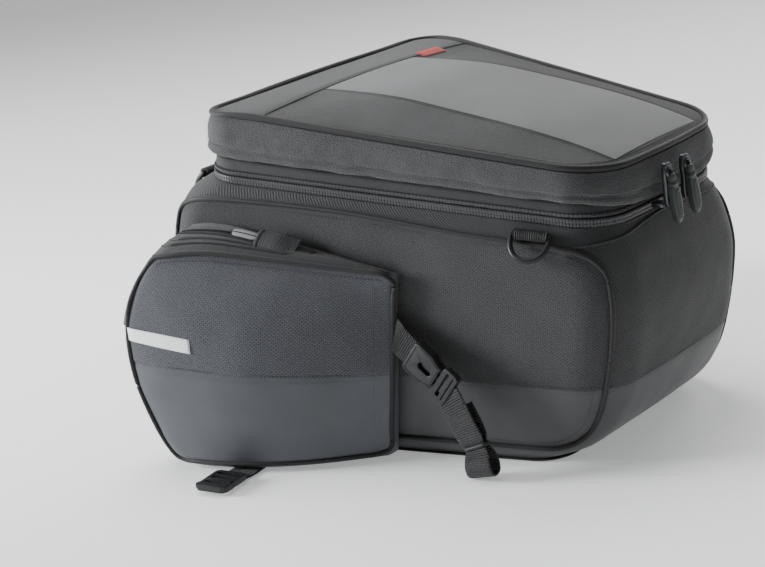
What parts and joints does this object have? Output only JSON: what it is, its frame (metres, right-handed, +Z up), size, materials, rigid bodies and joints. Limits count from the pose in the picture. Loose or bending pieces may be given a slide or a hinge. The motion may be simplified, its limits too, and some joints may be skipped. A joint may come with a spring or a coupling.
{
  "type": "motorcycle tail bag",
  "caption": "Tapered semi-rigid fabric tail bag with a zipped hinged lid, expansion collar, side pockets, D-rings and fastening straps.",
  "frame": {"origin": "middle of the underside, on the plane the bag rests on", "axes": "+Z up, +Y towards the rider (the wide front of the bag), +X to the right of the motorcycle"},
  "size_m": [0.5272, 0.4146, 0.2846],
  "materials": {
    "woven": "charcoal woven polyester with a visible fine brick weave",
    "coated": "charcoal coated fabric, smoother and slightly satin",
    "pale": "light grey smooth coated fabric, satin",
    "trim": "black binding and piping",
    "lining": "black lining cloth",
    "zip": "grey coil zip on a woven tape",
    "webbing": "black ribbed nylon webbing",
    "plastic": "black moulded acetal, matt",
    "puller": "dark green-grey moulded soft plastic",
    "metal": "dark gunmetal zip slider",
    "board": "black polypropylene sheet",
    "white": "bright white retroreflective tape",
    "red": "coral red woven tag, plain",
    "grey_tab": "silver-grey woven pull tab"
  },
  "bodies": {
    "bag": {"base_panel": "trim", "base_board": "board", "main_shell": "woven", "lower_coated_band": "coated", "inner_lining": "lining", "expansion_zip": "zip", "expansion_gusset": "trim", "left_side_piping": "trim", "left_pocket_shell": "woven", "left_pocket_coated_band": "coated", "left_pocket_piping": "trim", "left_pocket_zip": "zip", "left_pocket_zip_hood": "woven", "left_reflective_stripe": "white", "left_rear_d_ring_loop": "webbing", "left_front_d_ring_loop": "webbing", "left_strap_upper_webbing": "webbing", "left_buckle_female": "plastic", "left_front_strap": "webbing", "left_front_buckle": "plastic", "right_side_piping": "trim", "right_pocket_shell": "woven", "right_pocket_coated_band": "coated", "right_pocket_piping": "trim", "right_pocket_zip": "zip", "right_pocket_zip_hood": "woven", "right_reflective_stripe": "white", "right_rear_d_ring_loop": "webbing", "right_front_d_ring_loop": "webbing", "right_strap_upper_webbing": "webbing", "right_buckle_female": "plastic", "right_front_strap": "webbing", "right_front_buckle": "plastic"},
    "collar": {"expansion_collar": "woven", "main_zip": "zip"},
    "lid": {"lid_band": "woven", "lid_top": "woven", "lid_lining": "lining", "lid_piping": "trim", "lid_centre_panel": "pale", "lid_front_panel": "pale", "lid_tab": "red"},
    "left_zip_slider": {"left_main_slider": "metal"},
    "left_zip_puller": {"left_main_puller": "puller"},
    "left_pocket_slider": {"left_pocket_slider": "metal"},
    "left_pocket_tab": {"left_pocket_puller": "grey_tab"},
    "left_rear_d_ring": {"left_rear_d_ring": "plastic"},
    "left_front_d_ring": {"left_front_d_ring": "plastic"},
    "left_buckle": {"left_buckle_male": "plastic", "left_strap_lower_webbing": "webbing"},
    "right_zip_slider": {"right_main_slider": "metal"},
    "right_zip_puller": {"right_main_puller": "puller"},
    "right_pocket_slider": {"right_pocket_slider": "metal"},
    "right_pocket_tab": {"right_pocket_puller": "grey_tab"},
    "right_rear_d_ring": {"right_rear_d_ring": "plastic"},
    "right_front_d_ring": {"right_front_d_ring": "plastic"},
    "right_buckle": {"right_buckle_male": "plastic", "right_strap_lower_webbing": "webbing"}
  },
  "joints": [
    {"name": "collar_expand", "type": "slide", "parent": "bag", "child": "collar", "axis": [0, -0.1088, 0.9941], "range_m": [0, 0.05], "deforming": ["expansion_gusset"]},
    {"name": "lid_hinge", "type": "hinge", "parent": "collar", "child": "lid", "pos_m": [0, 0.1765, 0.248], "axis": [-1, 0, 0], "range_deg": [0, 100]},
    {"name": "left_zip_slide", "type": "slide", "parent": "collar", "child": "left_zip_slider", "axis": [1, 0, 0], "range_m": [-0.02, 0.008]},
    {"name": "left_puller_swing", "type": "hinge", "parent": "left_zip_slider", "child": "left_zip_puller", "pos_m": [-0.028, -0.1922, 0.217], "axis": [-0.9856, 0, -0.1692], "range_deg": [0, 120]},
    {"name": "left_pocket_zip_slide", "type": "slide", "parent": "bag", "child": "left_pocket_slider", "axis": [-0.2074, 0.9582, 0.1971], "range_m": [0, 0.045]},
    {"name": "left_pocket_tab_lift", "type": "hinge", "parent": "left_pocket_slider", "child": "left_pocket_tab", "pos_m": [-0.17275, 0.10383, 0.18692], "axis": [0.8615, 0.0834, 0.5009], "range_deg": [0, 60]},
    {"name": "left_rear_ring_swing", "type": "hinge", "parent": "bag", "child": "left_rear_d_ring", "pos_m": [-0.1097, -0.116, 0.18812], "axis": [-0.2081, 0.973, 0.0996], "range_deg": [0, 110]},
    {"name": "left_front_ring_swing", "type": "hinge", "parent": "bag", "child": "left_front_d_ring", "pos_m": [-0.108, 0.2005, 0.21986], "axis": [1, 0, 0], "range_deg": [0, 110]},
    {"name": "left_buckle_release", "type": "slide", "parent": "bag", "child": "left_buckle", "axis": [0, -0.788, -0.6157], "range_m": [0, 0.03]},
    {"name": "right_zip_slide", "type": "slide", "parent": "collar", "child": "right_zip_slider", "axis": [1, 0, 0], "range_m": [-0.008, 0.045]},
    {"name": "right_puller_swing", "type": "hinge", "parent": "right_zip_slider", "child": "right_zip_puller", "pos_m": [-0.001, -0.1922, 0.217], "axis": [-0.9801, 0, -0.1987], "range_deg": [0, 120]},
    {"name": "right_pocket_zip_slide", "type": "slide", "parent": "bag", "child": "right_pocket_slider", "axis": [0.2074, 0.9582, 0.1971], "range_m": [0, 0.045]},
    {"name": "right_pocket_tab_lift", "type": "hinge", "parent": "right_pocket_slider", "child": "right_pocket_tab", "pos_m": [0.17275, 0.10383, 0.18692], "axis": [0.8615, -0.0834, -0.5009], "range_deg": [0, 60]},
    {"name": "right_rear_ring_swing", "type": "hinge", "parent": "bag", "child": "right_rear_d_ring", "pos_m": [0.1097, -0.116, 0.18812], "axis": [-0.2081, -0.973, -0.0996], "range_deg": [0, 110]},
    {"name": "right_front_ring_swing", "type": "hinge", "parent": "bag", "child": "right_front_d_ring", "pos_m": [0.108, 0.2005, 0.21986], "axis": [1, 0, 0], "range_deg": [0, 110]},
    {"name": "right_buckle_release", "type": "slide", "parent": "bag", "child": "right_buckle", "axis": [0, -0.788, -0.6157], "range_m": [0, 0.03]}
  ]
}
